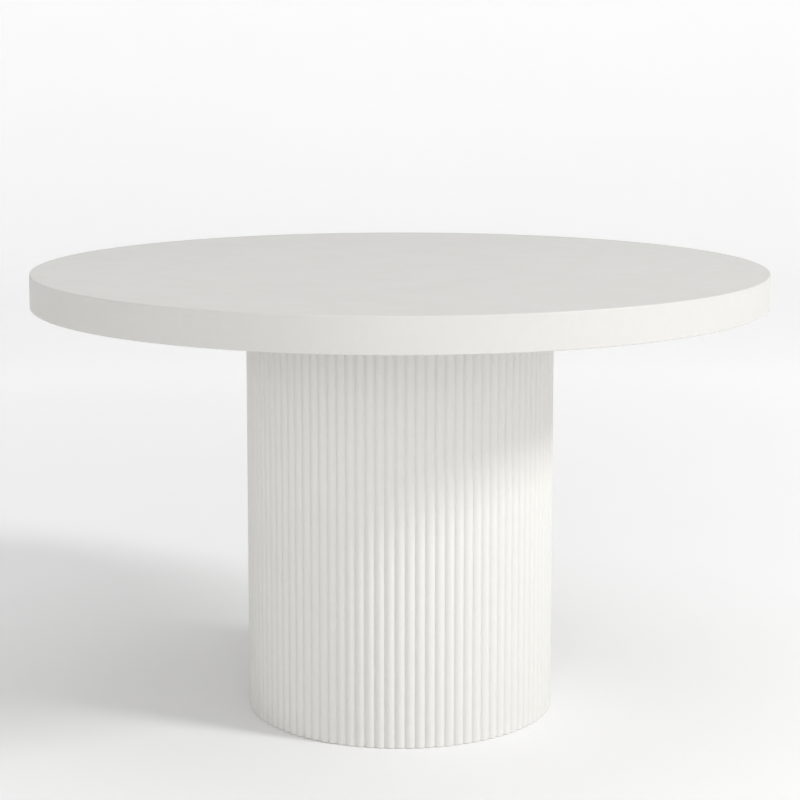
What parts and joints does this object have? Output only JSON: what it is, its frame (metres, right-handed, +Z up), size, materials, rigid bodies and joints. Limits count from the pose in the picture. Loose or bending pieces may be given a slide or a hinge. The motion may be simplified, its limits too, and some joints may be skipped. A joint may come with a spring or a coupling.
{
  "type": "round pedestal table",
  "caption": "Round dining table: a thick flat disc top on a wide vertical drum pedestal covered in fine vertical reeds, satin white, with hidden levelling feet.",
  "frame": {"origin": "centre of the footprint, on the floor", "axes": "+Z up along the drum's axis, -Y the front, +X to the right seen from the front"},
  "size_m": [1.2498, 1.25, 0.762],
  "materials": {
    "white_lacquer": "satin sprayed lacquer on fibreboard",
    "raw_fibreboard": "raw, sanded",
    "plywood": "raw birch plywood, sanded",
    "pine": "planed softwood",
    "zinc_steel": "bright zinc plate",
    "black_steel": "black powder coat",
    "black_nylon": "moulded nylon"
  },
  "bodies": {
    "table": {"top_panel": "white_lacquer", "edge_band": "white_lacquer", "bottom_panel": "white_lacquer", "reeded_shell_front": "white_lacquer", "reeded_shell_back": "white_lacquer", "rim_segment_1": "raw_fibreboard", "rim_segment_2": "raw_fibreboard", "rim_segment_3": "raw_fibreboard", "rim_segment_4": "raw_fibreboard", "rim_segment_5": "raw_fibreboard", "rim_segment_6": "raw_fibreboard", "rim_segment_7": "raw_fibreboard", "rim_segment_8": "raw_fibreboard", "core_rib_1": "raw_fibreboard", "core_rib_2": "raw_fibreboard", "core_rib_3": "raw_fibreboard", "core_rib_4": "raw_fibreboard", "core_rib_5": "raw_fibreboard", "core_rib_6": "raw_fibreboard", "core_rib_7": "raw_fibreboard", "core_rib_8": "raw_fibreboard", "hub_block": "raw_fibreboard", "drum_liner": "plywood", "top_bulkhead": "plywood", "mid_bulkhead": "plywood", "bottom_bulkhead": "plywood", "post_1": "pine", "post_2": "pine", "post_3": "pine", "post_4": "pine", "post_5": "pine", "post_6": "pine", "threaded_inserts": "zinc_steel", "table_bolts": "zinc_steel", "bolt_washers": "zinc_steel", "post_screws": "zinc_steel", "ballast_screws": "zinc_steel", "levelling_nuts": "zinc_steel", "clamp_plate": "black_steel", "ballast_plate": "black_steel"},
    "foot_pad_1": {"foot_pad_1": "black_nylon"},
    "foot_pad_2": {"foot_pad_2": "black_nylon"},
    "foot_pad_3": {"foot_pad_3": "black_nylon"},
    "foot_pad_4": {"foot_pad_4": "black_nylon"},
    "foot_stud_1": {"foot_stud_1": "zinc_steel"},
    "foot_stud_2": {"foot_stud_2": "zinc_steel"},
    "foot_stud_3": {"foot_stud_3": "zinc_steel"},
    "foot_stud_4": {"foot_stud_4": "zinc_steel"}
  },
  "joints": [
    {"name": "foot_travel_1", "type": "slide", "parent": "table", "child": "foot_pad_1", "axis": [0, 0, -1], "range_m": [0, 0.01]},
    {"name": "foot_turn_1", "type": "hinge", "parent": "foot_pad_1", "child": "foot_stud_1", "pos_m": [0.15203, 0.15203, 0], "axis": [0, 0, -1], "range_deg": [0, 2880]},
    {"name": "foot_travel_2", "type": "slide", "parent": "table", "child": "foot_pad_2", "axis": [0, 0, -1], "range_m": [0, 0.01]},
    {"name": "foot_turn_2", "type": "hinge", "parent": "foot_pad_2", "child": "foot_stud_2", "pos_m": [-0.15203, 0.15203, 0], "axis": [0, 0, -1], "range_deg": [0, 2880]},
    {"name": "foot_travel_3", "type": "slide", "parent": "table", "child": "foot_pad_3", "axis": [0, 0, -1], "range_m": [0, 0.01]},
    {"name": "foot_turn_3", "type": "hinge", "parent": "foot_pad_3", "child": "foot_stud_3", "pos_m": [-0.15203, -0.15203, 0], "axis": [0, 0, -1], "range_deg": [0, 2880]},
    {"name": "foot_travel_4", "type": "slide", "parent": "table", "child": "foot_pad_4", "axis": [0, 0, -1], "range_m": [0, 0.01]},
    {"name": "foot_turn_4", "type": "hinge", "parent": "foot_pad_4", "child": "foot_stud_4", "pos_m": [0.15203, -0.15203, 0], "axis": [0, 0, -1], "range_deg": [0, 2880]}
  ],
  "couplings": [
    {"joint": "foot_turn_1", "follows": "foot_travel_1", "rad_per_m": 5026.5},
    {"joint": "foot_turn_2", "follows": "foot_travel_2", "rad_per_m": 5026.5},
    {"joint": "foot_turn_3", "follows": "foot_travel_3", "rad_per_m": 5026.5},
    {"joint": "foot_turn_4", "follows": "foot_travel_4", "rad_per_m": 5026.5}
  ]
}
